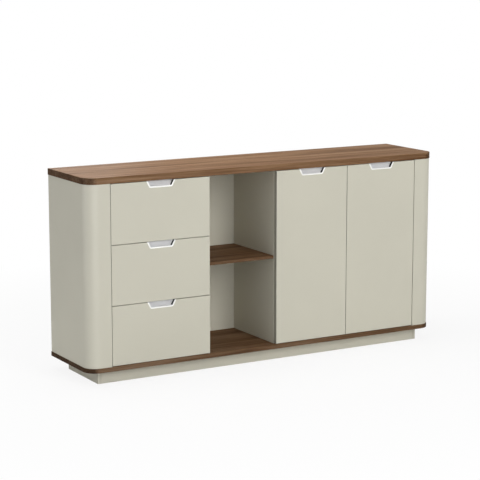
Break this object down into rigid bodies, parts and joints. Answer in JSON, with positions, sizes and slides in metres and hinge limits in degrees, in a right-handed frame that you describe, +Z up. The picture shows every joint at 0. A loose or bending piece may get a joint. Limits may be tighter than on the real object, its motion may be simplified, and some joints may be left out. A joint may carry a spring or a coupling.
{
  "type": "storage cabinet",
  "caption": "Low wide storage cabinet with walnut top and base, painted body with rounded corners, drawers, an open bay with a shelf and hinged doors, on a recessed plinth.",
  "frame": {"origin": "on the floor, at the middle of the cabinet's footprint", "axes": "+Z up, +X along the width towards the doors' end, front facing -Y"},
  "size_m": [1.6, 0.35, 0.8],
  "materials": {
    "walnut": "matte walnut veneer",
    "paint": "matte warm grey paint on board",
    "timber": "plain sawn softwood",
    "box_board": "pale grey melamine board",
    "pull_aluminium": "satin anodised",
    "runner_steel": "zinc plated",
    "hinge_nickel": "nickel plated",
    "cover_plastic": "matte",
    "bumper_rubber": "soft translucent"
  },
  "bodies": {
    "cabinet": {"top_panel": "walnut", "base_panel": "walnut", "open_shelf": "walnut", "door_bay_shelf": "walnut", "left_side_panel": "paint", "right_side_panel": "paint", "left_corner_post": "paint", "right_corner_post": "paint", "left_inner_panel": "paint", "right_inner_panel": "paint", "left_divider": "paint", "right_divider": "paint", "drawer_bay_back": "paint", "open_bay_back": "paint", "door_bay_back": "paint", "door_stop_rail": "paint", "plinth_sides": "paint", "plinth_front": "paint", "plinth_rear": "paint", "corner_battens": "timber", "plinth_braces": "timber", "plinth_corner_blocks": "timber", "runner_outer_members": "runner_steel", "back_screws": "runner_steel", "hinge_arms": "hinge_nickel", "hinge_plates": "hinge_nickel", "hinge_screws": "hinge_nickel", "shelf_pins": "hinge_nickel", "cam_covers": "cover_plastic"},
    "bottom_drawer": {"bottom_drawer_front": "paint", "bottom_drawer_pull": "pull_aluminium", "bottom_drawer_bottom": "box_board", "bottom_drawer_box_sides": "box_board", "bottom_drawer_box_ends": "box_board", "bottom_drawer_runner_inner": "runner_steel"},
    "bottom_runner": {"bottom_drawer_runner_middle": "runner_steel"},
    "middle_drawer": {"middle_drawer_front": "paint", "middle_drawer_pull": "pull_aluminium", "middle_drawer_bottom": "box_board", "middle_drawer_box_sides": "box_board", "middle_drawer_box_ends": "box_board", "middle_drawer_runner_inner": "runner_steel"},
    "middle_runner": {"middle_drawer_runner_middle": "runner_steel"},
    "top_drawer": {"top_drawer_front": "paint", "top_drawer_pull": "pull_aluminium", "top_drawer_bottom": "box_board", "top_drawer_box_sides": "box_board", "top_drawer_box_ends": "box_board", "top_drawer_runner_inner": "runner_steel"},
    "top_runner": {"top_drawer_runner_middle": "runner_steel"},
    "left_hinge_links": {"left_door_hinge_links": "hinge_nickel"},
    "left_door": {"left_door_panel": "paint", "left_door_pull": "pull_aluminium", "left_door_hinge_cups": "hinge_nickel", "left_door_bumper": "bumper_rubber"},
    "right_hinge_links": {"right_door_hinge_links": "hinge_nickel"},
    "right_door": {"right_door_panel": "paint", "right_door_pull": "pull_aluminium", "right_door_hinge_cups": "hinge_nickel", "right_door_bumper": "bumper_rubber"}
  },
  "joints": [
    {"name": "bottom_drawer_slide", "type": "slide", "parent": "cabinet", "child": "bottom_drawer", "axis": [0, -1, 0], "range_m": [0, 0.27]},
    {"name": "bottom_runner_slide", "type": "slide", "parent": "cabinet", "child": "bottom_runner", "axis": [0, -1, 0], "range_m": [0, 0.135]},
    {"name": "middle_drawer_slide", "type": "slide", "parent": "cabinet", "child": "middle_drawer", "axis": [0, -1, 0], "range_m": [0, 0.27]},
    {"name": "middle_runner_slide", "type": "slide", "parent": "cabinet", "child": "middle_runner", "axis": [0, -1, 0], "range_m": [0, 0.135]},
    {"name": "top_drawer_slide", "type": "slide", "parent": "cabinet", "child": "top_drawer", "axis": [0, -1, 0], "range_m": [0, 0.27]},
    {"name": "top_runner_slide", "type": "slide", "parent": "cabinet", "child": "top_runner", "axis": [0, -1, 0], "range_m": [0, 0.135]},
    {"name": "left_link_swing", "type": "hinge", "parent": "cabinet", "child": "left_hinge_links", "pos_m": [0.0596, -0.1422, 0.4225], "axis": [0, 0, -1], "range_deg": [-50, 0]},
    {"name": "left_door_swing", "type": "hinge", "parent": "left_hinge_links", "child": "left_door", "pos_m": [0.0396, -0.1589, 0.4225], "axis": [0, 0, -1], "range_deg": [0, 150]},
    {"name": "right_link_swing", "type": "hinge", "parent": "cabinet", "child": "right_hinge_links", "pos_m": [0.6684, -0.1422, 0.4225], "axis": [0, 0, 1], "range_deg": [-50, 0]},
    {"name": "right_door_swing", "type": "hinge", "parent": "right_hinge_links", "child": "right_door", "pos_m": [0.6884, -0.1589, 0.4225], "axis": [0, 0, 1], "range_deg": [0, 150]}
  ],
  "couplings": [
    {"joint": "bottom_runner_slide", "follows": "bottom_drawer_slide", "ratio": 0.5},
    {"joint": "middle_runner_slide", "follows": "middle_drawer_slide", "ratio": 0.5},
    {"joint": "top_runner_slide", "follows": "top_drawer_slide", "ratio": 0.5},
    {"joint": "left_link_swing", "follows": "left_door_swing", "ratio": -0.33333},
    {"joint": "right_link_swing", "follows": "right_door_swing", "ratio": -0.33333}
  ]
}
